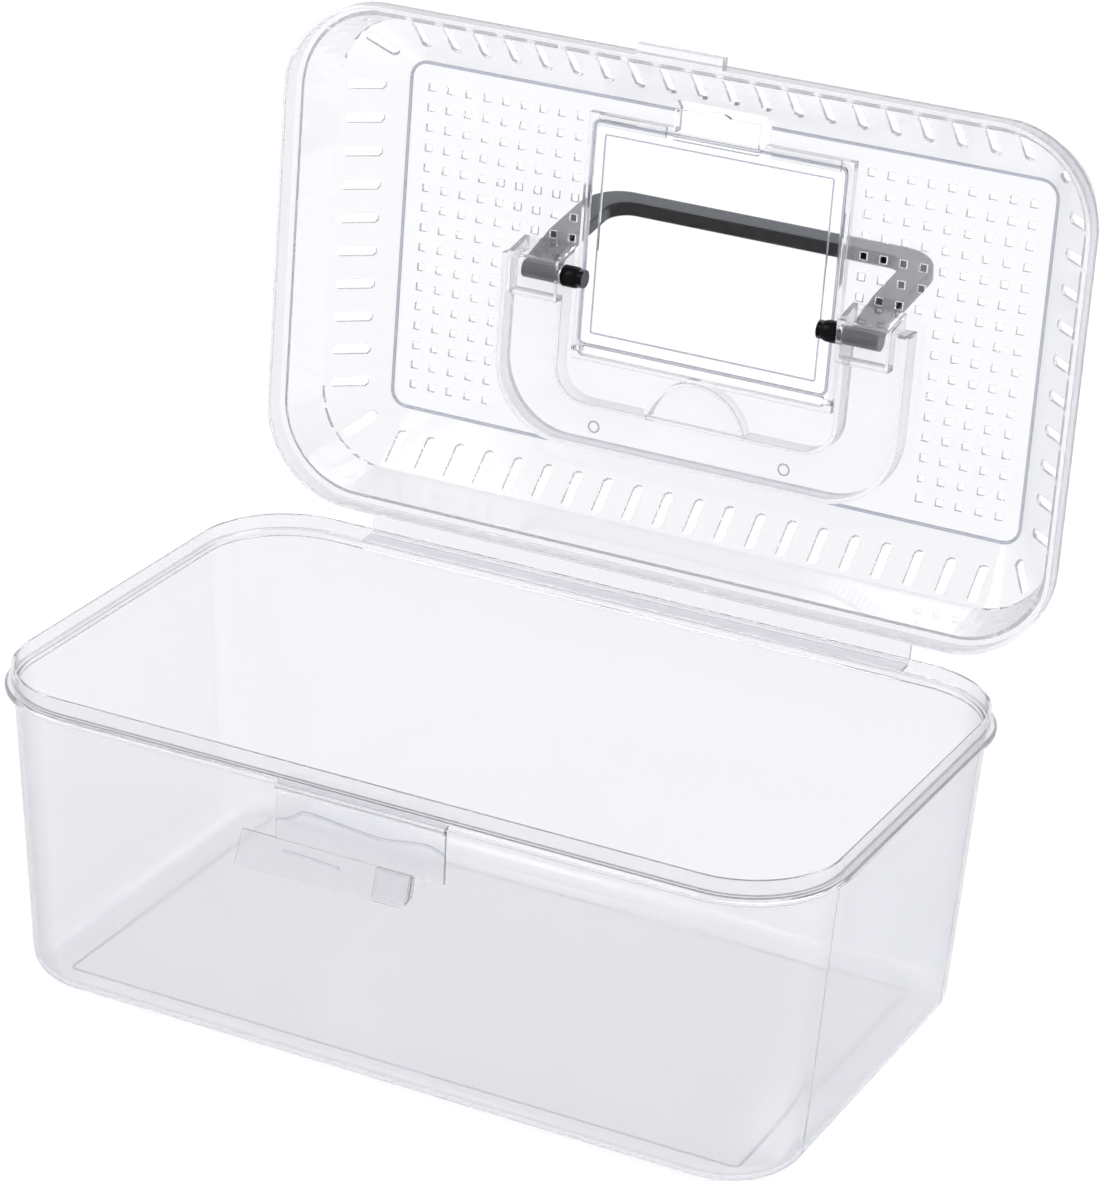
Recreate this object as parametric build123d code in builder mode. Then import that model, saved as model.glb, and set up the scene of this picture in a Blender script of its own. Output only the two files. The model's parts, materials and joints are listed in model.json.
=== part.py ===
# Clear plastic pet keeper: a tub with a hinged, vented lid, a feeding hatch, a carrying handle and a clasp.
# Millimetres. The tub stands on z = 0 with its middle at the origin, the clasp side faces -Y,
# and the lid stands open as it does when the keeper is being filled.
import os
from math import atan, cos, degrees, radians, sin

from build123d import *

os.makedirs("parts", exist_ok=True)

# Tub
WALL = 1.6
TUB_X = 147.4           # half length outside, under the rim
TUB_Y = 88.8            # half width outside, under the rim
TUB_R = 32.9
DRAFT = 6.4             # how far the walls come in from rim to floor
FOOT_R = 8.0
RIM_Z = 106.2           # top of the shelf that the lid lands on
RING_TOP = 111.8        # top of the upstand inside the lid
RING_OUT = 0.6          # the upstand's outer face, past the wall
RING_T = 1.0
SHELF_OUT = 2.8
SHELF_T = 2.6
SHELF_EDGE = 0.8
FOOT_LINE = (124.5, 67.6, 3.0)
FOOT_LINE_W = 1.0
FOOT_LINE_D = 0.6

# Main hinge, a folding web along the back of the rim
LID_LEAN = 3.95         # degrees past upright
HINGE_Y = 97.7
HINGE_Z = 106.35
HINGE_X = 104.0         # half length of the web
FILM_R = 0.4
FOLD_GAP = 0.45         # from the fold's axis to the leaf that turns about it
LEAF_T = 1.2
SEAT = 0.15             # the lid's rim plane above the fold's axis when closed

# Lid, measured from its rim plane: half length, half width, corner radius and depth
SKIN = 1.5
LID_X = 150.0
LID_Y = 91.3
LID_R = 34.5
SKIRT_T = 1.4
SKIRT_IN = 6.5          # depth of the channel that the tub's upstand enters
SKIRT_OUT = 8.0
WALL_LOW_IN = (145.6, 86.9, 30.0)
WALL_LOW_OUT = (147.0, 88.3, 31.4)
WALL_FALL_IN = 4.4      # how far the upright wall leans in
WALL_FALL_OUT = 4.1
SHOULDER = 26.0         # depth where the upright wall turns into the slotted shoulder
SHOULDER_IN = (141.2, 82.5, 25.6)
SHOULDER_OUT = (142.9, 84.2, 27.3)
SHOULDER_FALL_IN = 18.1
SHOULDER_FALL_OUT = 19.1
CROWN = 43.4            # depth of the top panel's inner face
CROWN_IN = (123.1, 64.4, 7.5)
CROWN_TOP = CROWN + SKIN
CORNER_CUT = 117.0      # where the end shoulders meet the long ones

# Vents
HOLE = 2.8
HOLE_PITCH = 7.4
HOLE_ROW_PITCH = 7.36
HOLE_U = 114.46         # outermost column
HOLE_S = 55.2           # first row
WIDE_ROWS = 7
WIDE_COLUMNS = 9
NARROW_ROWS = 9
NARROW_COLUMNS = 5
SLOT_L = 14.6
SLOT_W = 3.7
SLOT_CORNER = 1.1
SLOT_DEPTH = 4.0
SLOT_FALL = 44.2        # degrees, the shoulder's slope
END_SLOT_U = 134.95
END_SLOT_S = 55.0
END_SLOTS = 10
END_SLOT_PITCH = 12.29
LONG_SLOT_S = 76.9
LONG_SLOT_U = 113.8
LONG_SLOTS = 20
LONG_SLOT_PITCH = 11.98
SLOT_AT = 32.6          # depth of every slot's middle
DIAGONAL_SLOT = (129.3, 70.6)

# Handle well in the top panel, a U of two arms and a cross trough
WELL_OUT = (76.5, 60.5, 26.0)     # half width, reach towards the hinge, corner radius
WELL_IN = (54.9, 46.5, 13.0)
WELL_NEAR = 2.0                   # the arms' open end, towards the free edge
WELL_FLOOR = 37.0
SCOOP_R = 19.0
SCOOP_S = 51.0
SCOOP_FLOOR = 39.5
POCKET_FLOOR = 32.2
POCKET_U = 72.0
POCKET_S = (-8.0, 4.4, 8.0)       # back wall, front wall at the floor and front wall at the top
SPLIT_U = 51.9                    # joint line between the vented and middle panels
SPLIT_LOW_U = 79.5
SPLIT_S = 9.5

# Handle
PIVOT_S = -0.3
PIVOT_W = 35.8
PIVOT_D = 6.6
PIVOT_CLEAR = 0.05
PIVOT_IN = 45.0
ARM_OUT = 68.4
ARM_IN = 57.0
GRIP_FAR = 57.0
GRIP_W = 8.8
BAND_T = 5.5
CRANK = 4.4             # the band's middle stands this far off the pivot's line
CRANK_INNER = 7.2       # where the crank ends on the face that lies in the well
CRANK_OUTER = 18.0      # and on the face that shows when folded
LEAN = 12.6             # degrees past square to the lid, towards the free edge
BEND_OUT = 15.0
BEND_IN = 8.0
EDGE_R = 1.0

# Feeding hatch
DOOR_U = 48.5
DOOR_S = (-25.6, 56.5)
DOOR_W = (40.0, 43.0)
DOOR_BORDER = 5.1
DOOR_SKIN = 1.5
DOOR_CORNER = 3.6
DOOR_GAP = 0.4
FRAME_T = 1.5
FRAME_FAR = -29.6
BARREL_S = -27.5
BARREL_W = 41.5
BARREL_R = 1.6
BARREL_U = 46.5
PIN_R = 1.0
PIN_CLEAR = 0.05
PIN_U = 50.0
LATCH_U = 16.0
LATCH_S = 66.0
LATCH_W = 36.2
LATCH_T = 1.5
LATCH_BUMP = 9.0
NOTCH_U = 17.0
NOTCH_S = 68.6
STOP_U = (20.0, 46.0)
STOP_S = 54.5
STOP_W = (38.6, 39.7)

# Catch on the lid, and the clasp that folds up over it
CATCH_U = 16.0
CATCH_S = 95.1
CATCH_W = (0.6, 4.4)
CLASP_Y = -94.4
CLASP_Z = 104.8
CLASP_X = 30.3
CLASP_T = 1.1
CLASP_FACE = -92.2      # the panel's inner face, towards the tub
CLASP_LEAF = (103.4, 104.6)
CLASP_LOW = 82.4
CLASP_LEDGE = (104.9, 106.1)
LIP_X = (-44.0, 19.0)
LIP_LOW = 71.0
LIP_LEAN = 4.6
RIDGE_X = 12.0
RIDGE_Z = 97.8
RIDGE_H = 1.1
RIDGE_OUT = 0.9

lean = radians(LID_LEAN)
towards_edge = Vector(0, sin(lean), cos(lean))
outwards = Vector(0, cos(lean), -sin(lean))
hinge_point = Vector(0, HINGE_Y, HINGE_Z)
lid_middle = hinge_point + towards_edge * HINGE_Y + outwards * SEAT
LID = Plane(origin=lid_middle, x_dir=(1, 0, 0), z_dir=outwards)


def lid_at(depth):
    """The lid's own plane at a depth: x along the lid, y towards the hinge."""
    return LID.offset(depth)


def lid_point(u, s, w):
    """A point of the lid: along it, towards its free edge, and outwards from its rim."""
    return lid_middle + Vector(u, 0, 0) + towards_edge * s + outwards * w


def rounded(section):
    half_x, half_y, radius = section
    RectangleRounded(2 * half_x, 2 * half_y, radius)


def taper(plane, section, height, fall, mode=Mode.ADD):
    """A block that starts as a rounded rectangle and leans in all round."""
    with BuildSketch(plane) as base:
        rounded(section)
    extrude(base.sketch, amount=height, taper=degrees(atan(fall / abs(height))), mode=mode)


def lid_block(u, s, w, mode=Mode.ADD):
    """A box in the lid's directions, from pairs of limits."""
    with BuildSketch(lid_at(w[0])) as base:
        with Locations(((u[0] + u[1]) / 2, -(s[0] + s[1]) / 2)):
            Rectangle(u[1] - u[0], s[1] - s[0])
    extrude(base.sketch, amount=w[1] - w[0], mode=mode)


def side_plane(u):
    """A plane across the lid that looks towards -X: x towards the free edge, y outwards."""
    return Plane(origin=lid_point(u, 0, 0), x_dir=towards_edge, z_dir=(-1, 0, 0))


# Tub: drafted walls, a rounded foot, the shelf that carries the lid and the upstand inside it
hollow_depth = RIM_Z - WALL
with BuildPart() as tub_hollow:
    taper(
        Plane.XY.offset(RIM_Z),
        (TUB_X - WALL, TUB_Y - WALL, TUB_R - WALL),
        -hollow_depth,
        DRAFT * hollow_depth / RIM_Z,
    )
    fillet(tub_hollow.faces().sort_by(Axis.Z)[0].edges(), FOOT_R - WALL)
with BuildPart() as tub:
    taper(Plane.XY.offset(RIM_Z), (TUB_X, TUB_Y, TUB_R), -RIM_Z, DRAFT)
    fillet(tub.faces().sort_by(Axis.Z)[0].edges(), FOOT_R)
    add(tub_hollow.part, mode=Mode.SUBTRACT)
    with BuildSketch(Plane.XY.offset(RIM_Z - SHELF_T)):
        rounded((TUB_X + SHELF_OUT, TUB_Y + SHELF_OUT, TUB_R + SHELF_OUT))
        with BuildSketch(mode=Mode.SUBTRACT):
            rounded((TUB_X - WALL / 2, TUB_Y - WALL / 2, TUB_R - WALL / 2))
    extrude(amount=SHELF_T)
    for level in (RIM_Z - SHELF_T, RIM_Z):
        shelf_face = tub.faces().filter_by_position(Axis.Z, level - 0.01, level + 0.01).sort_by(Axis.X)[-1]
        chamfer(shelf_face.outer_wire().edges(), SHELF_EDGE)
    ring = (TUB_X + RING_OUT, TUB_Y + RING_OUT, TUB_R + RING_OUT)
    with BuildSketch(Plane.XY.offset(RIM_Z)):
        rounded(ring)
        with BuildSketch(mode=Mode.SUBTRACT):
            rounded(tuple(size - RING_T for size in ring))
    extrude(amount=RING_TOP - RIM_Z)
    with BuildSketch():
        rounded(FOOT_LINE)
        with BuildSketch(mode=Mode.SUBTRACT):
            rounded((FOOT_LINE[0] - FOOT_LINE_W, FOOT_LINE[1] - FOOT_LINE_W, FOOT_LINE[2] - FOOT_LINE_W))
    extrude(amount=FOOT_LINE_D, mode=Mode.SUBTRACT)
    # ledges that carry the two folding webs
    with BuildSketch(Plane.XY.offset(HINGE_Z - SEAT - LEAF_T)):
        with Locations((0, (TUB_Y + HINGE_Y - FILM_R) / 2)):
            Rectangle(2 * HINGE_X, HINGE_Y - FILM_R - TUB_Y)
    extrude(amount=LEAF_T)
    with BuildSketch(Plane.XY.offset(CLASP_LEDGE[0])):
        with Locations((0, (CLASP_Y + FILM_R - TUB_Y) / 2)):
            Rectangle(2 * CLASP_X, -CLASP_Y - FILM_R - TUB_Y)
    extrude(amount=CLASP_LEDGE[1] - CLASP_LEDGE[0])
tub.part.label = "tub"
export_step(tub.part, "parts/tub.step")

# Folding webs
with BuildPart() as lid_hinge_web:
    with BuildSketch(Plane.YZ.offset(-HINGE_X)):
        with Locations((HINGE_Y, HINGE_Z)):
            Circle(FILM_R)
    extrude(amount=2 * HINGE_X)
lid_hinge_web.part.label = "lid_hinge_web"
export_step(lid_hinge_web.part, "parts/lid_hinge_web.step")

with BuildPart() as clasp_hinge_web:
    with BuildSketch(Plane.YZ.offset(-CLASP_X)):
        with Locations((CLASP_Y, CLASP_Z)):
            Circle(FILM_R)
    extrude(amount=2 * CLASP_X)
clasp_hinge_web.part.label = "clasp_hinge_web"
export_step(clasp_hinge_web.part, "parts/clasp_hinge_web.step")

# Lid rim: skirt, channel for the tub's upstand, upright wall, hinge leaf and catch
with BuildPart() as lid_rim:
    with BuildSketch(lid_at(0)):
        rounded((LID_X, LID_Y, LID_R))
    extrude(amount=SKIRT_OUT)
    taper(lid_at(SKIRT_OUT), WALL_LOW_OUT, SHOULDER - SKIRT_OUT, WALL_FALL_OUT)
    with BuildSketch(lid_at(0)):
        rounded((LID_X - SKIRT_T, LID_Y - SKIRT_T, LID_R - SKIRT_T))
    extrude(amount=SKIRT_IN, mode=Mode.SUBTRACT)
    taper(lid_at(SKIRT_IN), WALL_LOW_IN, SHOULDER - SKIRT_IN, WALL_FALL_IN, mode=Mode.SUBTRACT)
    lid_block((-HINGE_X, HINGE_X), (FOLD_GAP - HINGE_Y, SKIRT_T / 2 - LID_Y), (0, LEAF_T))
    lid_block((-CATCH_U, CATCH_U), (LID_Y - SKIRT_T / 2, CATCH_S), CATCH_W)
lid_rim.part.label = "lid_rim"
export_step(lid_rim.part, "parts/lid_rim.step")


def slot(centre, run):
    """A vent slot through the shoulder, its length falling outwards along run."""
    along = (Vector(run[0], 0, 0) + towards_edge * run[1]).normalized()
    down = along * cos(radians(SLOT_FALL)) - outwards * sin(radians(SLOT_FALL))
    square = along * sin(radians(SLOT_FALL)) + outwards * cos(radians(SLOT_FALL))
    with BuildSketch(Plane(origin=lid_point(*centre, SLOT_AT), x_dir=down, z_dir=square)) as mouth:
        Rectangle(SLOT_L, SLOT_W)
        chamfer(mouth.vertices(), SLOT_CORNER)
    extrude(mouth.sketch, amount=SLOT_DEPTH, both=True, mode=Mode.SUBTRACT)


def shoulder(name, u, s, slots):
    """One side of the sloped shoulder, cut from the whole ring, with its slots."""
    with BuildPart() as side:
        taper(lid_at(SHOULDER), SHOULDER_OUT, CROWN_TOP - SHOULDER, SHOULDER_FALL_OUT)
        taper(lid_at(SHOULDER), SHOULDER_IN, CROWN - SHOULDER, SHOULDER_FALL_IN, mode=Mode.SUBTRACT)
        with BuildSketch(lid_at(CROWN)):
            rounded(CROWN_IN)
        extrude(amount=SKIN, mode=Mode.SUBTRACT)
        lid_block(u, s, (0, 2 * CROWN), mode=Mode.INTERSECT)
        for centre, run in slots:
            slot(centre, run)
        if name == "front_shoulder":
            lid_block((-NOTCH_U, NOTCH_U), (0, NOTCH_S), (SHOULDER, 2 * CROWN), mode=Mode.SUBTRACT)
    side.part.label = name
    export_step(side.part, f"parts/{name}.step")
    return side


for name, side in (("front_shoulder", 1), ("back_shoulder", -1)):
    slots = []
    for k in range(LONG_SLOTS):
        slots.append(((k * LONG_SLOT_PITCH - LONG_SLOT_U, side * LONG_SLOT_S), (0, side)))
    shoulder(name, (-CORNER_CUT, CORNER_CUT), sorted((0, side * LID_Y)), slots)

for name, side in (("right_shoulder", 1), ("left_shoulder", -1)):
    slots = []
    for k in range(END_SLOTS):
        slots.append(((side * END_SLOT_U, END_SLOT_S - k * END_SLOT_PITCH), (side, 0)))
    for end in (1, -1):
        centre = (side * DIAGONAL_SLOT[0], end * DIAGONAL_SLOT[1])
        slots.append((centre, (side, end)))
    shoulder(name, sorted((side * CORNER_CUT, side * LID_X)), (-LID_Y, LID_Y), slots)

# Vented panels, one at each end of the top
for name, side in (("right_vent_panel", 1), ("left_vent_panel", -1)):
    with BuildPart() as vent_panel:
        with BuildSketch(lid_at(CROWN)):
            rounded(CROWN_IN)
            with BuildSketch(mode=Mode.INTERSECT):
                with BuildLine():
                    Polyline(
                        (side * SPLIT_U, -LID_Y),
                        (side * LID_X, -LID_Y),
                        (side * LID_X, LID_Y),
                        (side * SPLIT_LOW_U, LID_Y),
                        (side * SPLIT_LOW_U, -SPLIT_S),
                        (side * SPLIT_U, -SPLIT_S),
                        close=True,
                    )
                make_face()
            for columns, rows, first in (
                (WIDE_COLUMNS, WIDE_ROWS, 0),
                (NARROW_COLUMNS, NARROW_ROWS, WIDE_ROWS),
            ):
                middle_u = side * (HOLE_U - (columns - 1) * HOLE_PITCH / 2)
                middle_s = HOLE_S - (first + (rows - 1) / 2) * HOLE_ROW_PITCH
                with Locations((middle_u, -middle_s)):
                    with GridLocations(HOLE_PITCH, HOLE_ROW_PITCH, columns, rows):
                        Rectangle(HOLE, HOLE, mode=Mode.SUBTRACT)
        extrude(amount=SKIN)
    vent_panel.part.label = name
    export_step(vent_panel.part, f"parts/{name}.step")


def u_face(half, reach, corner, near, grow):
    """One edge of the well: a rectangle whose two corners towards the hinge are round."""
    with BuildSketch(mode=Mode.PRIVATE) as face:
        with Locations((0, (reach + grow - near) / 2)):
            Rectangle(2 * (half + grow), reach + grow + near)
        fillet(face.vertices().group_by(Axis.Y)[-1], corner + grow)
    return face.sketch


def well(depth, height, grow, mode):
    """The U of the well, grown all round by grow."""
    with BuildSketch(lid_at(depth)) as floor:
        add(u_face(*WELL_OUT, WELL_NEAR + grow, grow))
        add(u_face(*WELL_IN, WELL_NEAR + 2 * SKIN, -grow), mode=Mode.SUBTRACT)
    extrude(floor.sketch, amount=height, mode=mode)


def pocket(u_low, grow, above, mode):
    """A pivot pocket between the arm's open end and the middle panel, with a leaning front wall."""
    width = POCKET_U - WELL_IN[0] + 2 * grow
    back, front_low, front_high = POCKET_S
    outline = [
        (back - grow, POCKET_FLOOR - grow),
        (front_low + grow, POCKET_FLOOR - grow),
        (front_high + grow, CROWN_TOP),
        (back - grow, CROWN_TOP),
    ]
    if above:
        outline[3:] = [(front_high + grow, CROWN_TOP + above), (back - grow, CROWN_TOP + above)]
    with BuildSketch(side_plane(u_low + width)) as side:
        with BuildLine():
            Polyline(*outline, close=True)
        make_face()
    extrude(side.sketch, amount=width, mode=mode)


# Middle panel: the well, the pivot pockets, the finger scoop and the hatch's frame
frame_u = DOOR_U + DOOR_GAP
frame_s = DOOR_S[1] + DOOR_GAP
with BuildPart() as middle_panel:
    with BuildSketch(lid_at(CROWN)):
        rounded(CROWN_IN)
        with BuildSketch(mode=Mode.INTERSECT):
            with Locations((0, -(LID_Y + SPLIT_S) / 2)):
                Rectangle(2 * SPLIT_U, LID_Y - SPLIT_S)
            with Locations((0, (LID_Y - SPLIT_S) / 2)):
                Rectangle(2 * SPLIT_LOW_U, LID_Y + SPLIT_S)
    extrude(amount=SKIN)
    well(WELL_FLOOR - SKIN, CROWN_TOP - WELL_FLOOR + SKIN, SKIN, Mode.ADD)
    for u_low in (WELL_IN[0] - SKIN, -POCKET_U - SKIN):
        pocket(u_low, SKIN, 0, Mode.ADD)
    with BuildSketch(lid_at(SCOOP_FLOOR - SKIN)):
        with Locations((0, SCOOP_S)):
            Circle(SCOOP_R + SKIN)
        with Locations((0, WELL_IN[1] + SCOOP_R)):
            Rectangle(4 * SCOOP_R, 2 * SCOOP_R, mode=Mode.SUBTRACT)
    extrude(amount=CROWN_TOP - SCOOP_FLOOR + SKIN)
    lid_block(
        (-frame_u - FRAME_T, frame_u + FRAME_T), (FRAME_FAR - FRAME_T, frame_s + FRAME_T), (DOOR_W[0], CROWN)
    )
    for side in (1, -1):
        stop_u = sorted(side * u for u in STOP_U)
        lid_block(stop_u, (STOP_S, frame_s + FRAME_T), STOP_W)
        lid_block(stop_u, (frame_s, frame_s + FRAME_T), (STOP_W[0], CROWN))
    well(WELL_FLOOR, CROWN, 0, Mode.SUBTRACT)
    for u_low in (WELL_IN[0], -POCKET_U):
        pocket(u_low, 0, CROWN, Mode.SUBTRACT)
    with BuildSketch(lid_at(SCOOP_FLOOR)):
        with Locations((0, SCOOP_S)):
            Circle(SCOOP_R)
        with Locations((0, WELL_IN[1] + SCOOP_R + SKIN)):
            Rectangle(4 * SCOOP_R, 2 * SCOOP_R, mode=Mode.SUBTRACT)
    extrude(amount=CROWN, mode=Mode.SUBTRACT)
    with BuildSketch(lid_at(DOOR_W[0])):
        with Locations((0, -(FRAME_FAR + frame_s) / 2)):
            RectangleRounded(2 * frame_u, frame_s - FRAME_FAR, DOOR_CORNER)
    extrude(amount=CROWN, mode=Mode.SUBTRACT)
    lid_block((-NOTCH_U, NOTCH_U), (frame_s - SKIN, NOTCH_S), (0, 2 * CROWN), mode=Mode.SUBTRACT)
    for u_start, length, s, w, radius in (
        (POCKET_U, 2 * POCKET_U, PIVOT_S, PIVOT_W, PIVOT_D / 2 + PIVOT_CLEAR),
        (PIN_U, 2 * PIN_U, BARREL_S, BARREL_W, PIN_R + PIN_CLEAR),
    ):
        with BuildSketch(side_plane(u_start)):
            with Locations((s, w)):
                Circle(radius)
        extrude(amount=length, mode=Mode.SUBTRACT)
middle_panel.part.label = "middle_panel"
export_step(middle_panel.part, "parts/middle_panel.step")

# Feeding hatch
with BuildPart() as hatch:
    with BuildSketch(lid_at(DOOR_W[0])):
        with Locations((0, -(DOOR_S[0] + DOOR_S[1]) / 2)):
            RectangleRounded(2 * DOOR_U, DOOR_S[1] - DOOR_S[0], DOOR_CORNER - DOOR_GAP)
    extrude(amount=DOOR_W[1] - DOOR_W[0])
    lid_block(
        (DOOR_BORDER - DOOR_U, DOOR_U - DOOR_BORDER),
        (DOOR_S[0] + DOOR_BORDER, DOOR_S[1] - DOOR_BORDER),
        (0, DOOR_W[1] - DOOR_SKIN),
        mode=Mode.SUBTRACT,
    )
    for half, radius in ((BARREL_U, BARREL_R), (PIN_U, PIN_R)):
        with BuildSketch(side_plane(half)):
            with Locations((BARREL_S, BARREL_W)):
                Circle(radius)
        extrude(amount=2 * half)
    lid_block((-BARREL_U, BARREL_U), (BARREL_S, DOOR_S[0]), (BARREL_W - DOOR_SKIN / 2, BARREL_W + DOOR_SKIN / 2))
    lid_block((-LATCH_U, LATCH_U), (DOOR_S[1] - SKIN, DOOR_S[1]), (LATCH_W, DOOR_W[1]))
    lid_block((-LATCH_U, LATCH_U), (DOOR_S[1] - SKIN, LATCH_S), (LATCH_W, LATCH_W + LATCH_T))
    with BuildSketch(lid_at(LATCH_W)):
        with Locations((0, LATCH_BUMP - LATCH_S - LATCH_T)):
            Circle(LATCH_BUMP)
        with Locations((0, LATCH_BUMP - LATCH_S)):
            Rectangle(2 * LATCH_BUMP, 2 * LATCH_BUMP, mode=Mode.SUBTRACT)
    extrude(amount=LATCH_T)
hatch.part.label = "hatch"
export_step(hatch.part, "parts/hatch.step")

# Handle: a U-shaped band cranked off its two pivot stubs
handle_lean = radians(LEAN)
reach = towards_edge * sin(handle_lean) + outwards * cos(handle_lean)
HANDLE = Plane(
    origin=lid_point(0, PIVOT_S, PIVOT_W), x_dir=(1, 0, 0), z_dir=Vector(1, 0, 0).cross(reach)
)
handle_side = Plane(origin=HANDLE.origin - Vector(ARM_OUT, 0, 0), x_dir=reach, z_dir=(1, 0, 0))
with BuildPart() as handle:
    with BuildSketch(HANDLE.offset(-GRIP_FAR / 2)) as outline:
        with Locations((0, GRIP_FAR / 2)):
            Rectangle(2 * ARM_OUT, GRIP_FAR)
        fillet(outline.vertices().group_by(Axis.Y)[-1], BEND_OUT)
        with BuildSketch(mode=Mode.SUBTRACT) as gap:
            with Locations((0, (GRIP_FAR - GRIP_W) / 2)):
                Rectangle(2 * ARM_IN, GRIP_FAR - GRIP_W)
            fillet(gap.vertices().group_by(Axis.Y)[-1], BEND_IN)
    extrude(amount=GRIP_FAR)
    with BuildSketch(handle_side):
        with BuildLine():
            Polyline(
                (0, -PIVOT_D / 2),
                (CRANK_INNER, CRANK - BAND_T / 2),
                (GRIP_FAR, CRANK - BAND_T / 2),
                (GRIP_FAR, CRANK + BAND_T / 2),
                (CRANK_OUTER, CRANK + BAND_T / 2),
                (0, PIVOT_D / 2),
                close=True,
            )
        make_face()
    extrude(amount=2 * ARM_OUT, mode=Mode.INTERSECT)
    band_edges = handle.edges().filter_by(lambda edge: edge.length > BAND_T + 1)
    fillet(band_edges, EDGE_R)
    for u_start in (ARM_OUT, -PIVOT_IN):
        with BuildSketch(side_plane(u_start)):
            with Locations((PIVOT_S, PIVOT_W)):
                Circle(PIVOT_D / 2)
        extrude(amount=ARM_OUT - PIVOT_IN)
handle.part.label = "handle"
export_step(handle.part, "parts/handle.step")

# Clasp: leaf, hanging panel and the lip along its free edge
with BuildPart() as clasp:
    with BuildSketch(Plane.YZ.offset(-CLASP_X)):
        with BuildLine():
            Polyline(
                (CLASP_Y + FOLD_GAP, CLASP_LEAF[1]),
                (CLASP_FACE, CLASP_LEAF[1]),
                (CLASP_FACE, CLASP_LOW),
                (CLASP_FACE - CLASP_T, CLASP_LOW),
                (CLASP_FACE - CLASP_T, CLASP_LEAF[0]),
                (CLASP_Y + FOLD_GAP, CLASP_LEAF[0]),
                close=True,
            )
        make_face()
    extrude(amount=2 * CLASP_X)
    with BuildSketch(Plane.YZ.offset(LIP_X[0])):
        with BuildLine():
            Polyline(
                (CLASP_FACE, CLASP_LOW + CLASP_T),
                (CLASP_FACE - LIP_LEAN, LIP_LOW),
                (CLASP_FACE - LIP_LEAN - CLASP_T, LIP_LOW),
                (CLASP_FACE - CLASP_T, CLASP_LOW),
                (CLASP_FACE - CLASP_T, CLASP_LOW + CLASP_T),
                close=True,
            )
        make_face()
    extrude(amount=LIP_X[1] - LIP_X[0])
    with BuildSketch(Plane.YZ.offset(-RIDGE_X)):
        with Locations((CLASP_FACE - CLASP_T, RIDGE_Z)):
            Rectangle(2 * RIDGE_OUT, RIDGE_H)
    extrude(amount=2 * RIDGE_X)
clasp.part.label = "clasp"
export_step(clasp.part, "parts/clasp.step")
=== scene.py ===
import json
from math import cos, pi, radians, sin

import bmesh
import bpy
from mathutils import Matrix, Vector


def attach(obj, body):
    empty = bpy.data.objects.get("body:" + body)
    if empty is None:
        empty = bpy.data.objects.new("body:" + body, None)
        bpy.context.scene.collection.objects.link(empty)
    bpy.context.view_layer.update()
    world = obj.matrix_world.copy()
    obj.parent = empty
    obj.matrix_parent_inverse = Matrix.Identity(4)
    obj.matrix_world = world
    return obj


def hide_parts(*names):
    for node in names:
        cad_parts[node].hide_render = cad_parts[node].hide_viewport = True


# A clear plastic pet keeper, standing open. Metres, in the frame of its CAD model: +Z up, the clasp side
# faces -Y, and the origin is the middle of the tub's underside.
MM = 0.001

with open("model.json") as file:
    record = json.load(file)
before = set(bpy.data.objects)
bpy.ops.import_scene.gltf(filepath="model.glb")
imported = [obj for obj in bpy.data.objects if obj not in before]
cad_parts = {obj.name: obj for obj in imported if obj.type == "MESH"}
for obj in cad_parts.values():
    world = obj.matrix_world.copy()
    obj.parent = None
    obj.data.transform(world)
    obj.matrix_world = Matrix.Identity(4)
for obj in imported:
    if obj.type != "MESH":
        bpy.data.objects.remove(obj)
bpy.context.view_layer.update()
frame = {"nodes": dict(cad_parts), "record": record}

# The lid's own directions, as it stands open on its hinge
LID_LEAN = radians(3.95)
HINGE = Vector((0, 97.7, 106.35)) * MM
RIM_TO_HINGE = 97.7 * MM    # from the hinge to the middle of the lid's rim
SEAT = 0.15 * MM            # how far outwards of the hinge the rim's plane lies
TOWARDS_EDGE = Vector((0, sin(LID_LEAN), cos(LID_LEAN)))
OUTWARDS = Vector((0, cos(LID_LEAN), -sin(LID_LEAN)))
LID_MIDDLE = HINGE + TOWARDS_EDGE * RIM_TO_HINGE + OUTWARDS * SEAT

# Small parts of the mouldings, in millimetres. Lid places are (u, s, w): along the lid, towards its free
# edge and outwards from its rim.
STUB_S = -0.3               # the axis on which the handle swings
STUB_W = 35.8
STUB_HEAD_R = 3.9
STUB_HEAD_ROOT = 53.3       # just inside the pivot pocket's wall
STUB_HEAD_TIP = 45.0
STUB_HEAD_ROOT_R = 0.94 * STUB_HEAD_R
STUB_HEAD_SHOULDER = 0.3    # how far from its root the head is at its full radius
STUB_DOME_ANGLES = (0, 15, 30, 45, 60, 75, 86)
WELL_SKIN_W = 35.5          # the inner face of the handle well's floor
EJECTOR_U = 37.0
EJECTOR_S = -53.0
EJECTOR_R = 2.0
EJECTOR_BEAD_R = 0.32       # the raised edge of the mark
CROWN_BORDER = (122.7, 64.0, 6.0)  # half length, half width and corner radius of the top panel's edge
CROWN_W = 43.3
CROWN_GAP = 17.6            # half width of the hatch latch's notch in it
CROWN_BEAD_R = 0.65
DOOR_BORDERS = {            # half width, lower end, upper end, corner radius and bead radius
    "door_border_out": (47.9, -25.0, 55.9, 2.6, 0.55),
    "door_border_in": (43.4, -20.5, 51.4, 0.6, 0.3),
}
DOOR_INNER_W = 40.1
BASE_BORDER = (124.0, 67.1, 2.6)   # half length, half width and corner radius under the tub
BASE_BORDER_R = 0.3

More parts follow.
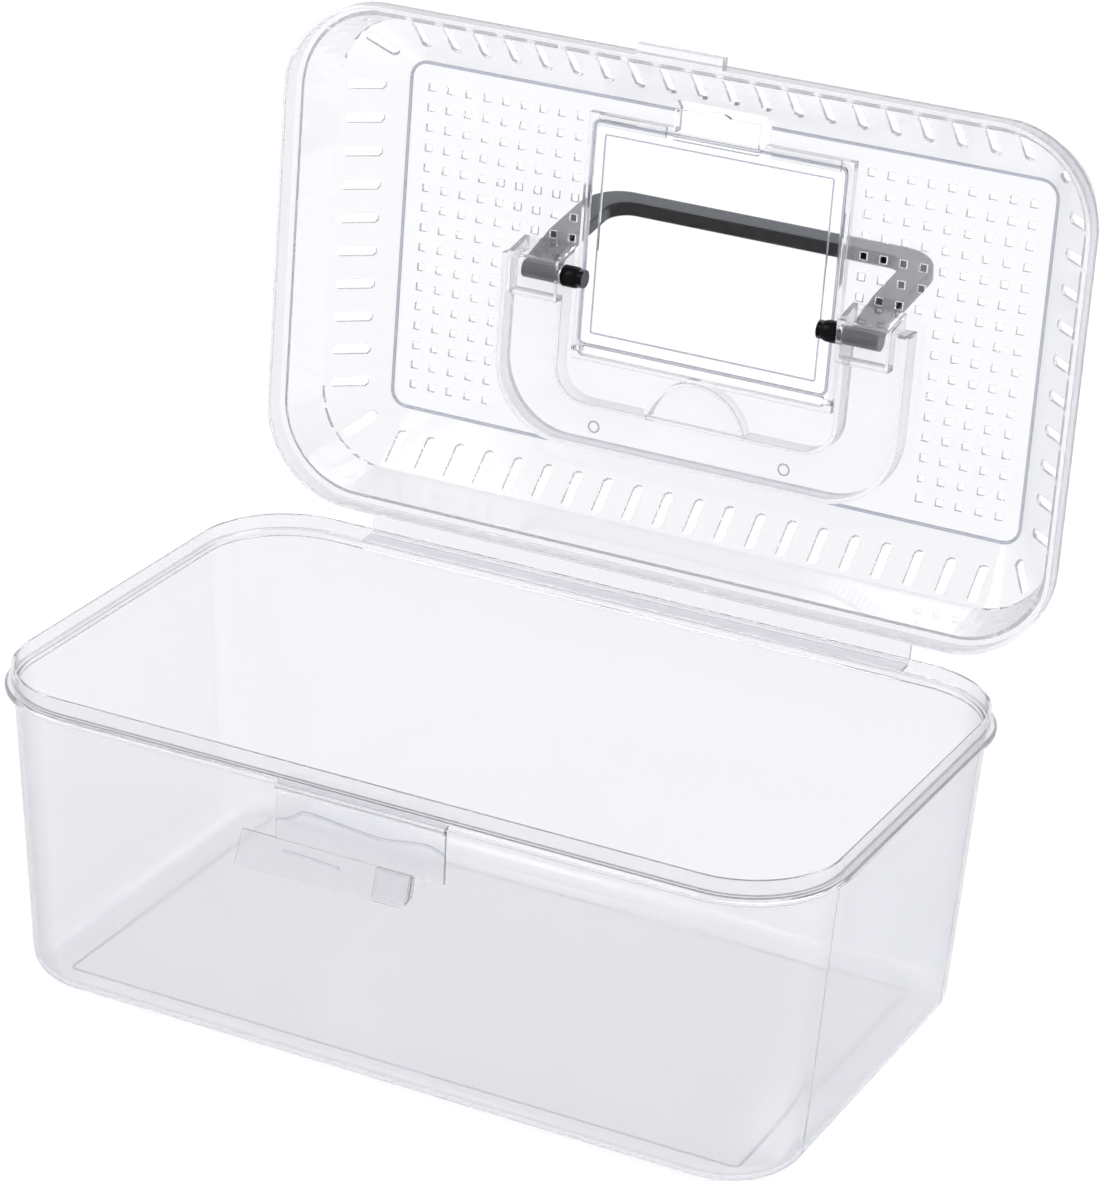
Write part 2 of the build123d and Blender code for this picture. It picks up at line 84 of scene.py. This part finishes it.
# Clasp: leaf and panel at the fold, and the lip that hangs from the panel
CLASP_X = 30.3              # half the panel's length
CLASP_T = 1.1               # wall thickness
CLASP_FACE = -93.3          # the panel's outer face
CLASP_TOP = 104.6
CLASP_LOW = 86.3
LEAF_EDGE = -93.95          # the leaf is the thicker strip beside the fold
LEAF_LOW = 103.4
LIP_FALL = (-3.6, -12.0)    # how the lip runs from the panel's foot, in y and z
LIP_OUTLINE = ((-42.6, 0), (19.0, 0), (19.0, 8.2), (18.2, 10.2), (16.4, 11.2), (-43.6, 12.5))
LIP_END_OUTLINE = ((5.5, 0.8), (18.4, 0.8), (18.4, 8.0), (17.6, 9.8), (16.0, 10.6), (5.5, 10.8))
LIP_END_DEPTH = 3.4
LIP_END_GAP = 0.05
LIP_RIDGE = ((-27.0, 3.4), (-6.3, 4.2))
LIP_RIDGE_R = 0.5
CLASP_WAVE = (
    (-29.9, 92.9), (-25.4, 94.5), (-21.5, 97.3), (-18.4, 98.1), (-8.4, 97.3),
    (6.6, 96.1), (17.0, 97.4), (24.3, 98.2), (29.9, 96.6),
)
CLASP_WAVE_R = 0.55
CLASP_EDGE_R = 0.2
LIP_END_EDGE_R = 0.5

# How finely round forms are divided
ROUND_STEPS = 24
EJECTOR_STEPS = 12
CORNER_STEPS = 6            # in a quarter turn
BEAD_SIDES = 8
SMOOTH_STEPS = 6            # between two points of a smooth bead
STRAIGHT_STEPS = 1
SHARP_EDGE = radians(25)    # a solid's edges that bend by more than this are rounded
WELD = 0.005 * MM

# Camera, from the fit to the photograph
CAMERA_PLACE = Vector((581.26, -1138.85, 703.81)) * MM
CAMERA_AZIMUTH = radians(26.387)
CAMERA_ELEVATION = radians(23.606)
CAMERA_ROLL = radians(2.533)
CAMERA_LENS = 140.474
SENSOR_WIDTH = 36.0

# Finishes
NOISE_SPREAD = (0.3, 0.7)   # the share of a noise's range that its finish follows
PAINTED_SHADE_ONSET = 0.28           # how far from square on a clear wall its painted grey shade starts
CLEAR_INDEX = 1.49
CLASP_INDEX = 1.4
DOOR_INDEX = 1.22           # low, so that the hatch keeps the grip behind it free of reflections
CLEAR_GLOSS = (0.03, 0.09)
RIPPLE_WIDTH = 38 * MM
RIPPLE_HEIGHT = 0.4 * MM
CLOUD_WIDTH = 60 * MM
MILK_COLOUR = "#F6F6F9"
SHADOW_COLOUR = "#E6E8EC"
SMOKE_INDEX = 1.55
SMOKE_GLOSS = (0.16, 0.24)
SMOKE_COLOUR = "#08080A"
SMOKE_PAINTED_SHEEN = (0.3, 0.5)    # where the painted grey sheen of a face seen at a grazing angle starts and is full
FLOW_WIDTH = 22 * MM
WHITE = "#FFFFFF"
PAPER_GRAIN = 3 * MM
PAPER_ROUGHNESS = (0.62, 0.66)
PAPER_WHITE_SHARE = 0.72    # the rest of the paper's light is real, and carries the shadow
FLOOR_HALF = 6.0
ROOM_COLOUR = "#F2F4F7"
ROOM_STRENGTH = 0.85

# Soft lamps: place, size and power in watts
LAMPS = {
    "lamp_left": ((-1.6, -1.2, 2.0), (1.6, 1.6), 30),
    "lamp_right": ((1.8, -0.4, 1.5), (1.2, 1.6), 7),
    "lamp_back": ((0.2, 1.8, 1.9), (2.2, 1.2), 16),
}
LAMP_TARGET = Vector((0, 0, 0.1))


def lid_point(u, s, w):
    """A point of the lid in millimetres: along it, towards its free edge, and outwards from its rim."""
    return LID_MIDDLE + Vector((u * MM, 0, 0)) + TOWARDS_EDGE * (s * MM) + OUTWARDS * (w * MM)


def linear(hex_colour):
    """An sRGB hex colour as the linear values that a shader takes."""
    channels = [int(hex_colour[k : k + 2], 16) / 255 for k in (1, 3, 5)]
    return [c / 12.92 if c <= 0.04045 else ((c + 0.055) / 1.055) ** 2.4 for c in channels] + [1.0]


def add(tree, kind, inputs=None, **settings):
    """Adds a node: settings are its own properties, and inputs are values or outputs for its sockets."""
    made = tree.nodes.new(kind)
    for name, value in settings.items():
        setattr(made, name, value)
    for name, value in (inputs or {}).items():
        if isinstance(value, bpy.types.NodeSocket):
            tree.links.new(value, made.inputs[name])
        else:
            made.inputs[name].default_value = value
    return made


def new_material(name):
    """An empty material and its node tree."""
    material = bpy.data.materials.new(name)
    material.use_nodes = True
    material.node_tree.nodes.clear()
    return material, material.node_tree


def finish_material(tree, shader):
    """Makes the shader the surface of its material."""
    add(tree, "ShaderNodeOutputMaterial", {"Surface": shader})


def spread(tree, noise, low, high):
    """A noise's middle part, stretched between two values."""
    start, stop = NOISE_SPREAD
    ends = {"From Min": start, "From Max": stop, "To Min": low, "To Max": high}
    return add(tree, "ShaderNodeMapRange", {"Value": noise.outputs["Fac"], **ends}).outputs["Result"]


def seen_by(tree, *kinds):
    """1 for a ray of any of the kinds, and 0 for others."""
    path = add(tree, "ShaderNodeLightPath")
    seen = path.outputs[kinds[0]]
    for kind in kinds[1:]:
        seen = add(tree, "ShaderNodeMath", {0: seen, 1: path.outputs[kind]}, operation="MAXIMUM").outputs[0]
    return seen


def clear_polypropylene(name, face_colour, painted_grazing_colour, haze, index=CLEAR_INDEX):
    """Polypropylene, injection moulded and glossy: it passes light, with a faint blue-grey milkiness and slow
    ripples from the melt's flow; a painted grey shade builds up in its colour where the wall is seen edge on."""
    material, tree = new_material(name)
    place = add(tree, "ShaderNodeTexCoord").outputs["Object"]
    ripple = add(
        tree,
        "ShaderNodeTexNoise",
        {"Vector": place, "Scale": 1 / RIPPLE_WIDTH, "Detail": 1.5, "Roughness": 0.4},
    )
    ripples = add(
        tree,
        "ShaderNodeBump",
        {"Strength": 0.05, "Distance": RIPPLE_HEIGHT, "Height": ripple.outputs["Fac"]},
    )
    cloud = add(tree, "ShaderNodeTexNoise", {"Vector": place, "Scale": 1 / CLOUD_WIDTH, "Detail": 3.0})
    grazing = add(tree, "ShaderNodeLayerWeight", {"Blend": 0.35})
    # Painted shade: the wall's colour runs from its own colour square on to a grey where it is seen edge on.
    tint_and_painted_shade = add(tree, "ShaderNodeValToRGB", {"Fac": grazing.outputs["Facing"]})
    tint_and_painted_shade.color_ramp.elements[0].position = PAINTED_SHADE_ONSET
    tint_and_painted_shade.color_ramp.elements[0].color = linear(face_colour)
    tint_and_painted_shade.color_ramp.elements[1].color = linear(painted_grazing_colour)
    wall = add(
        tree,
        "ShaderNodeBsdfPrincipled",
        {
            "Base Color": tint_and_painted_shade.outputs["Color"],
            "Roughness": spread(tree, cloud, *CLEAR_GLOSS),
            "IOR": index,
            "Transmission Weight": 1.0,
            "Normal": ripples.outputs["Normal"],
        },
    )
    milk = add(tree, "ShaderNodeBsdfTranslucent", {"Color": linear(MILK_COLOUR)})
    milky = add(tree, "ShaderNodeMixShader", {0: haze, 1: wall.outputs[0], 2: milk.outputs[0]})
    shadow = seen_by(tree, "Is Shadow Ray")
    open_to_lamps = add(tree, "ShaderNodeBsdfTransparent", {"Color": linear(SHADOW_COLOUR)})
    mixed = add(tree, "ShaderNodeMixShader", {0: shadow, 1: milky.outputs[0], 2: open_to_lamps.outputs[0]})
    finish_material(tree, mixed.outputs[0])
    return material


def smoky_plastic(name, painted_grazing_colour):
    """Styrene, moulded in a smoky black with a high gloss, whose thin walls pass a little light; its colour
    turns to the given painted sheen colour where a face is seen at a grazing angle."""
    material, tree = new_material(name)
    place = add(tree, "ShaderNodeTexCoord").outputs["Object"]
    flow = add(tree, "ShaderNodeTexNoise", {"Vector": place, "Scale": 1 / FLOW_WIDTH, "Detail": 2.0})
    grazing = add(tree, "ShaderNodeLayerWeight", {"Blend": 0.5})
    # Painted sheen: the colour turns from black to the sheen colour where a face is seen at a grazing angle.
    sheen = add(tree, "ShaderNodeValToRGB", {"Fac": grazing.outputs["Facing"]})
    for stop, position, colour in zip(sheen.color_ramp.elements, SMOKE_PAINTED_SHEEN, (SMOKE_COLOUR, painted_grazing_colour)):
        stop.position = position
        stop.color = linear(colour)
    body = add(
        tree,
        "ShaderNodeBsdfPrincipled",
        {
            "Base Color": sheen.outputs["Color"],
            "Roughness": spread(tree, flow, *SMOKE_GLOSS),
            "IOR": SMOKE_INDEX,
            "Transmission Weight": 0.03,
            "Specular IOR Level": 0.05,
        },
    )
    finish_material(tree, body.outputs[0])
    return material


FINISH = {
    # Clear finishes: the colour square on, the painted grey shade seen edge on, the share of milkiness, and
    # an index for some.
    "lid": clear_polypropylene("polypropylene_clear_lid", "#FBFBFD", "#9093A6", 0.13),
    "tub": clear_polypropylene("polypropylene_clear_tub", "#F7F7F9", "#9092A0", 0.09),
    "door": clear_polypropylene("polypropylene_water_clear", "#FEFEFF", "#A9ACB8", 0.006, DOOR_INDEX),
    # The fine raised lines take a greyer copy of the clear finish: painted shade that makes them show as soft
    # grey lines.
    "edge": clear_polypropylene("polypropylene_clear_bead_painted_shade", "#BEC0CA", "#9598A4", 0.1),
    "thick": clear_polypropylene("polypropylene_clear_thick", "#F5F5F8", "#CBCDD6", 0.12),
    "clasp": clear_polypropylene("polypropylene_clear_clasp", "#FBFBFC", "#A3A5AF", 0.04, CLASP_INDEX),
    # The handle's styrene has a grey painted sheen; the stub heads take a copy with a near-black painted
    # sheen.
    "smoke": smoky_plastic("smoky_styrene_grey_painted_sheen", "#55575B"),
    "black": smoky_plastic("smoky_styrene_dark_painted_sheen", "#0B0B0D"),
}
NODE_FINISH = {"tub": "tub", "clasp": "tub", "clasp_hinge_web": "tub", "hatch": "door", "handle": "smoke"}

for name, node in frame["nodes"].items():
    node.data.materials.clear()
    node.data.materials.append(FINISH[NODE_FINISH.get(name, "lid")])


def new_piece(name, mesh, finish, body):
    """A finished mesh as a piece of the keeper that moves with a body."""
    piece = bpy.data.objects.new(name, mesh)
    bpy.context.scene.collection.objects.link(piece)
    mesh.materials.clear()
    mesh.materials.append(finish)
    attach(piece, body)
    return piece


def welded_copy(node):
    """A CAD node's mesh as one connected skin, in an object of its own."""
    shape = bmesh.new()
    shape.from_mesh(node.data)
    bmesh.ops.remove_doubles(shape, verts=shape.verts, dist=WELD)
    bmesh.ops.dissolve_degenerate(shape, edges=shape.edges, dist=WELD)
    mesh = bpy.data.meshes.new(node.name + "_skin")
    shape.to_mesh(mesh)
    shape.free()
    skin = bpy.data.objects.new(mesh.name, mesh)
    bpy.context.scene.collection.objects.link(skin)
    return skin


def evaluated_mesh(piece):
    """The object's mesh with its modifiers applied."""
    graph = bpy.context.evaluated_depsgraph_get()
    return bpy.data.meshes.new_from_object(piece.evaluated_get(graph))


def moulding(name, members, finish, body):
    """One moulding from the CAD nodes that make it up, without joint lines."""
    skins = [welded_copy(frame["nodes"][member]) for member in members]
    whole = skins[0]
    others = bpy.data.collections.new(name + "_parts")
    bpy.context.scene.collection.children.link(others)
    for skin in skins[1:]:
        others.objects.link(skin)
    union = whole.modifiers.new("union", "BOOLEAN")
    union.operation = "UNION"
    union.solver = "EXACT"
    union.operand_type = "COLLECTION"
    union.collection = others
    mesh = evaluated_mesh(whole)
    bpy.data.collections.remove(others)
    for skin in skins:
        bpy.data.objects.remove(skin)
    mesh.name = name
    mesh.shade_flat()
    piece = new_piece(name, mesh, finish, body)
    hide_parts(*members)


def prism(shape, outline, depth):
    """Adds a solid to the bmesh: an outline of points in space, pushed along the vector depth."""
    near = [shape.verts.new(point) for point in outline]
    far = [shape.verts.new(Vector(point) + depth) for point in outline]
    shape.faces.new(near)
    shape.faces.new(reversed(far))
    for k in range(len(near)):
        after = (k + 1) % len(near)
        shape.faces.new((near[after], near[k], far[k], far[after]))


def solid_mesh(name, shape, edge=0.0):
    """The bmesh as a mesh with outward faces, its edges rounded where an edge radius is given."""
    bmesh.ops.recalc_face_normals(shape, faces=shape.faces)
    if edge:
        sharp = [e for e in shape.edges if e.is_manifold and e.calc_face_angle() > SHARP_EDGE]
        bmesh.ops.bevel(shape, geom=sharp, offset=edge, segments=2, affect="EDGES", clamp_overlap=True)
    mesh = bpy.data.meshes.new(name)
    shape.to_mesh(mesh)
    shape.free()
    return mesh


def turned(name, profile, start, axis):
    """A solid of revolution: profile points are (distance along the axis from start, radius)."""
    shape = bmesh.new()
    across = axis.orthogonal().normalized()
    up = axis.cross(across)
    rings = []
    for distance, radius in profile:
        middle = start + axis * distance
        ring = []
        for k in range(ROUND_STEPS):
            turn = 2 * pi * k / ROUND_STEPS
            ring.append(shape.verts.new(middle + (across * cos(turn) + up * sin(turn)) * radius))
        rings.append(ring)
    for low, high in zip(rings, rings[1:]):
        for k in range(ROUND_STEPS):
            after = (k + 1) % ROUND_STEPS
            shape.faces.new((low[k], low[after], high[after], high[k]))
    shape.faces.new(rings[0])
    shape.faces.new(rings[-1])
    mesh = solid_mesh(name, shape)
    mesh.shade_smooth()
    return mesh


def bead_tree():
    """Geometry Nodes: a bead, round in section, that follows the line of its mesh's edges."""
    tree = bpy.data.node_groups.new("bead_along_line", "GeometryNodeTree")
    tree.interface.new_socket("Line", in_out="INPUT", socket_type="NodeSocketGeometry")
    radius = tree.interface.new_socket("Radius", in_out="INPUT", socket_type="NodeSocketFloat")
    steps = tree.interface.new_socket("Steps", in_out="INPUT", socket_type="NodeSocketInt")
    finish = tree.interface.new_socket("Finish", in_out="INPUT", socket_type="NodeSocketMaterial")
    tree.interface.new_socket("Bead", in_out="OUTPUT", socket_type="NodeSocketGeometry")
    given = add(tree, "NodeGroupInput").outputs
    line = add(tree, "GeometryNodeMeshToCurve", {"Mesh": given["Line"]}).outputs["Curve"]
    rounded = add(tree, "GeometryNodeCurveSplineType", {"Curve": line}, spline_type="CATMULL_ROM")
    path = add(
        tree,
        "GeometryNodeSetSplineResolution",
        {"Geometry": rounded.outputs["Curve"], "Resolution": given["Steps"]},
    )
    section = add(
        tree,
        "GeometryNodeCurvePrimitiveCircle",
        {"Resolution": BEAD_SIDES, "Radius": given["Radius"]},
        mode="RADIUS",
    )
    swept = add(
        tree,
        "GeometryNodeCurveToMesh",
        {"Curve": path.outputs["Geometry"], "Profile Curve": section.outputs["Curve"], "Fill Caps": True},
    )
    real = add(tree, "GeometryNodeRealizeInstances", {"Geometry": swept.outputs["Mesh"]})
    made = add(
        tree,
        "GeometryNodeSetMaterial",
        {"Geometry": real.outputs["Geometry"], "Material": given["Finish"]},
    )
    add(tree, "NodeGroupOutput", {"Bead": made.outputs["Geometry"]})
    return tree, {"radius": radius.identifier, "steps": steps.identifier, "finish": finish.identifier}


BEAD_TREE, BEAD_INPUT = bead_tree()


def raised_line(name, points, radius, finish, body, closed=False, steps=STRAIGHT_STEPS):
    """A fine raised line of the moulding, round in section, along points in space, as a piece of a body."""
    line = bpy.data.meshes.new(name + "_line")
    edges = [(k, k + 1) for k in range(len(points) - 1)]
    if closed:
        edges.append((len(points) - 1, 0))
    line.from_pydata([tuple(point) for point in points], edges, [])
    holder = bpy.data.objects.new(name, line)
    bpy.context.scene.collection.objects.link(holder)
    sweep = holder.modifiers.new("bead", "NODES")
    sweep.node_group = BEAD_TREE
    sweep[BEAD_INPUT["radius"]] = radius * MM
    sweep[BEAD_INPUT["steps"]] = steps
    sweep[BEAD_INPUT["finish"]] = FINISH[finish]
    mesh = evaluated_mesh(holder)
    holder.modifiers.remove(sweep)
    bpy.data.objects.remove(holder)
    mesh.name = name
    mesh.shade_smooth()
    new_piece(name, mesh, FINISH[finish], body)


def rounded_loop(half_x, half_y, radius):
    """The points of a rounded rectangle about the origin, a quarter turn at each corner."""
    points = []
    for quarter, (sign_x, sign_y) in enumerate(((1, 1), (-1, 1), (-1, -1), (1, -1))):
        for k in range(CORNER_STEPS + 1):
            turn = pi / 2 * (quarter + k / CORNER_STEPS)
            x = sign_x * (half_x - radius) + radius * cos(turn)
            y = sign_y * (half_y - radius) + radius * sin(turn)
            points.append((x, y))
    return points


def make_stub_heads():
    """The handle's two pivot stubs end in round heads just inside their pockets."""
    run = STUB_HEAD_ROOT - STUB_HEAD_TIP - STUB_HEAD_R
    profile = [(0, STUB_HEAD_ROOT_R), (STUB_HEAD_SHOULDER, STUB_HEAD_R)]
    for angle in STUB_DOME_ANGLES:
        profile.append((run + STUB_HEAD_R * sin(radians(angle)), STUB_HEAD_R * cos(radians(angle))))
    profile = [(distance * MM, radius * MM) for distance, radius in profile]
    for side, name in ((1, "right_stub_head"), (-1, "left_stub_head")):
        root = lid_point(side * STUB_HEAD_ROOT, STUB_S, STUB_W)
        mesh = turned(name, profile, root, Vector((-side, 0, 0)))
        # The heads take the copy of the smoky styrene whose painted sheen is near black.
        new_piece(name, mesh, FINISH["black"], "handle")


def make_ejector_marks():
    """Two round marks that the mould's ejector pins leave on the floor of the handle's well."""
    for side, name in ((1, "right_ejector_mark"), (-1, "left_ejector_mark")):
        ring = []
        for k in range(EJECTOR_STEPS):
            turn = 2 * pi * k / EJECTOR_STEPS
            u = side * EJECTOR_U + EJECTOR_R * cos(turn)
            ring.append(lid_point(u, EJECTOR_S + EJECTOR_R * sin(turn), WELL_SKIN_W))
        raised_line(name, ring, EJECTOR_BEAD_R, "edge", "lid", closed=True, steps=SMOOTH_STEPS)


def make_crown_border():
    """The soft step round the top panel's inner face, open where the hatch's latch passes."""
    half_x, half_y, radius = CROWN_BORDER
    loop = rounded_loop(half_x, half_y, radius)
    first = len(loop) // 4      # the loop starts at its right side, and the border left of the notch
    run = [(-CROWN_GAP, half_y)] + loop[first:] + loop[:first] + [(CROWN_GAP, half_y)]
    points = [lid_point(u, s, CROWN_W) for u, s in run]
    raised_line("crown_border", points, CROWN_BEAD_R, "edge", "lid")


def make_door_borders():
    """The raised border round the hatch, as two beads whose painted grey shade makes its rounded edges show
    as two soft lines.
    """
    for name, (half_u, low_s, high_s, radius, thick) in DOOR_BORDERS.items():
        middle = (low_s + high_s) / 2
        outline = rounded_loop(half_u, (high_s - low_s) / 2, radius)
        loop = [lid_point(u, middle + s, DOOR_INNER_W) for u, s in outline]
        raised_line(name, loop, thick, "edge", "hatch", closed=True)


def make_base_border():
    """The fine raised line round the tub's underside."""
    loop = [Vector((x, y, BASE_BORDER_R)) * MM for x, y in rounded_loop(*BASE_BORDER)]
    raised_line("base_border", loop, BASE_BORDER_R, "edge", "tub", closed=True)


def make_clasp():
    """The clasp's flap: a leaf, a panel with a waved ridge, and a lip with a slim ridge and a closed end."""
    fall = Vector((0, *LIP_FALL)).normalized()
    square = fall.cross(Vector((1, 0, 0)))
    panel_back = CLASP_FACE + CLASP_T
    foot = Vector((0, panel_back, CLASP_LOW))

    def on_lip(x, down, out=0.0):
        """A point of the lip: along the clasp, down the lip from the panel's foot, and out from its face."""
        return (foot + Vector((x, 0, 0)) + fall * down + square * out) * MM

    section = (
        (LEAF_EDGE, CLASP_TOP), (panel_back, CLASP_TOP), (panel_back, CLASP_LOW),
        (CLASP_FACE, CLASP_LOW), (CLASP_FACE, LEAF_LOW), (LEAF_EDGE, LEAF_LOW),
    )
    shape = bmesh.new()
    prism(shape, [Vector((-CLASP_X, y, z)) * MM for y, z in section], Vector((2 * CLASP_X * MM, 0, 0)))
    prism(shape, [on_lip(x, down) for x, down in LIP_OUTLINE], square * (CLASP_T * MM))
    mesh = solid_mesh("clasp_flap", shape, CLASP_EDGE_R * MM)
    flap = new_piece("clasp_flap", mesh, FINISH["clasp"], "clasp")
    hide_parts("clasp")

    shape = bmesh.new()
    prism(
        shape,
        [on_lip(x, down, -LIP_END_GAP) for x, down in LIP_END_OUTLINE],
        square * (-LIP_END_DEPTH * MM),
    )
    mesh = solid_mesh("clasp_lip_end", shape, LIP_END_EDGE_R * MM)
    new_piece("clasp_lip_end", mesh, FINISH["clasp"], "clasp")

    ridge = [on_lip(x, down, CLASP_T) for x, down in LIP_RIDGE]
    raised_line("clasp_lip_ridge", ridge, LIP_RIDGE_R, "thick", "clasp")
    wave = [Vector((x, CLASP_FACE, z)) * MM for x, z in CLASP_WAVE]
    raised_line("clasp_wave", wave, CLASP_WAVE_R, "thick", "clasp", steps=SMOOTH_STEPS)


def floor_material():
    """Matt white paper, kept white to the camera, with the keeper's faint shadow left on it."""
    material, tree = new_material("paper_white_matt")
    place = add(tree, "ShaderNodeTexCoord").outputs["Object"]
    grain = add(tree, "ShaderNodeTexNoise", {"Vector": place, "Scale": 1 / PAPER_GRAIN, "Detail": 2.0})
    low, high = PAPER_ROUGHNESS
    shade = add(tree, "ShaderNodeMapRange", {"Value": grain.outputs["Fac"], "To Min": low, "To Max": high})
    paper = add(tree, "ShaderNodeBsdfDiffuse", {"Color": linear(WHITE), "Roughness": shade.outputs["Result"]})
    glow = add(tree, "ShaderNodeEmission", {"Color": linear(WHITE), "Strength": 1.0})
    seen = seen_by(tree, "Is Camera Ray", "Is Glossy Ray", "Is Transmission Ray")
    share = add(tree, "ShaderNodeMath", {0: seen, 1: PAPER_WHITE_SHARE}, operation="MULTIPLY")
    mixed = add(tree, "ShaderNodeMixShader", {0: share.outputs[0], 1: paper.outputs[0], 2: glow.outputs[0]})
    finish_material(tree, mixed.outputs[0])
    return material


def make_floor():
    """A sheet of paper under the keeper."""
    corners = [(x * FLOOR_HALF, y * FLOOR_HALF, 0) for x, y in ((-1, -1), (1, -1), (1, 1), (-1, 1))]
    mesh = bpy.data.meshes.new("floor")
    mesh.from_pydata(corners, [], [(0, 1, 2, 3)])
    floor = bpy.data.objects.new("floor", mesh)
    bpy.context.scene.collection.objects.link(floor)
    mesh.materials.append(floor_material())


def make_world():
    """A white studio: a soft pale room as light, and plain white where it is seen or reflected."""
    world = bpy.data.worlds.new("white_studio")
    bpy.context.scene.world = world
    world.use_nodes = True
    tree = world.node_tree
    tree.nodes.clear()
    seen = seen_by(tree, "Is Camera Ray", "Is Transmission Ray", "Is Glossy Ray")
    room = add(tree, "ShaderNodeBackground", {"Color": linear(ROOM_COLOUR), "Strength": ROOM_STRENGTH})
    white = add(tree, "ShaderNodeBackground", {"Color": linear(WHITE), "Strength": 1.0})
    mixed = add(tree, "ShaderNodeMixShader", {0: seen, 1: room.outputs[0], 2: white.outputs[0]})
    add(tree, "ShaderNodeOutputWorld", {"Surface": mixed.outputs[0]})


def make_lamps():
    """The soft lamps, each turned towards the keeper."""
    for name, (place, size, power) in LAMPS.items():
        lamp = bpy.data.lights.new(name, "AREA")
        lamp.shape = "RECTANGLE"
        lamp.size, lamp.size_y = size
        lamp.energy = power
        holder = bpy.data.objects.new(name, lamp)
        bpy.context.scene.collection.objects.link(holder)
        holder.location = place
        holder.rotation_euler = (LAMP_TARGET - Vector(place)).to_track_quat("-Z", "Y").to_euler()


def make_camera():
    """The camera of the photograph."""
    look = Vector((
        -sin(CAMERA_AZIMUTH) * cos(CAMERA_ELEVATION),
        cos(CAMERA_AZIMUTH) * cos(CAMERA_ELEVATION),
        -sin(CAMERA_ELEVATION),
    ))
    level = Vector((cos(CAMERA_AZIMUTH), sin(CAMERA_AZIMUTH), 0))
    upright = level.cross(look)
    right = level * cos(CAMERA_ROLL) + upright * sin(CAMERA_ROLL)
    up = upright * cos(CAMERA_ROLL) - level * sin(CAMERA_ROLL)
    data = bpy.data.cameras.new("camera")
    data.sensor_fit = "HORIZONTAL"
    data.sensor_width = SENSOR_WIDTH
    data.lens = CAMERA_LENS
    camera = bpy.data.objects.new("camera", data)
    bpy.context.scene.collection.objects.link(camera)
    turn = Matrix((right, up, -look)).transposed().to_4x4()
    camera.matrix_world = Matrix.Translation(CAMERA_PLACE) @ turn
    bpy.context.scene.camera = camera


lid_members = frame["record"]["behaviour"]["bodies"]["lid"]
moulding("lid_moulding", lid_members, FINISH["lid"], "lid")
make_stub_heads()
make_ejector_marks()
make_crown_border()
make_door_borders()
make_base_border()
make_clasp()
make_floor()
make_world()
make_lamps()
make_camera()

scene = bpy.context.scene
scene.view_settings.view_transform = "Standard"
scene.cycles.max_bounces = 16
scene.cycles.diffuse_bounces = 2
scene.cycles.transmission_bounces = 16
scene.cycles.transparent_max_bounces = 24
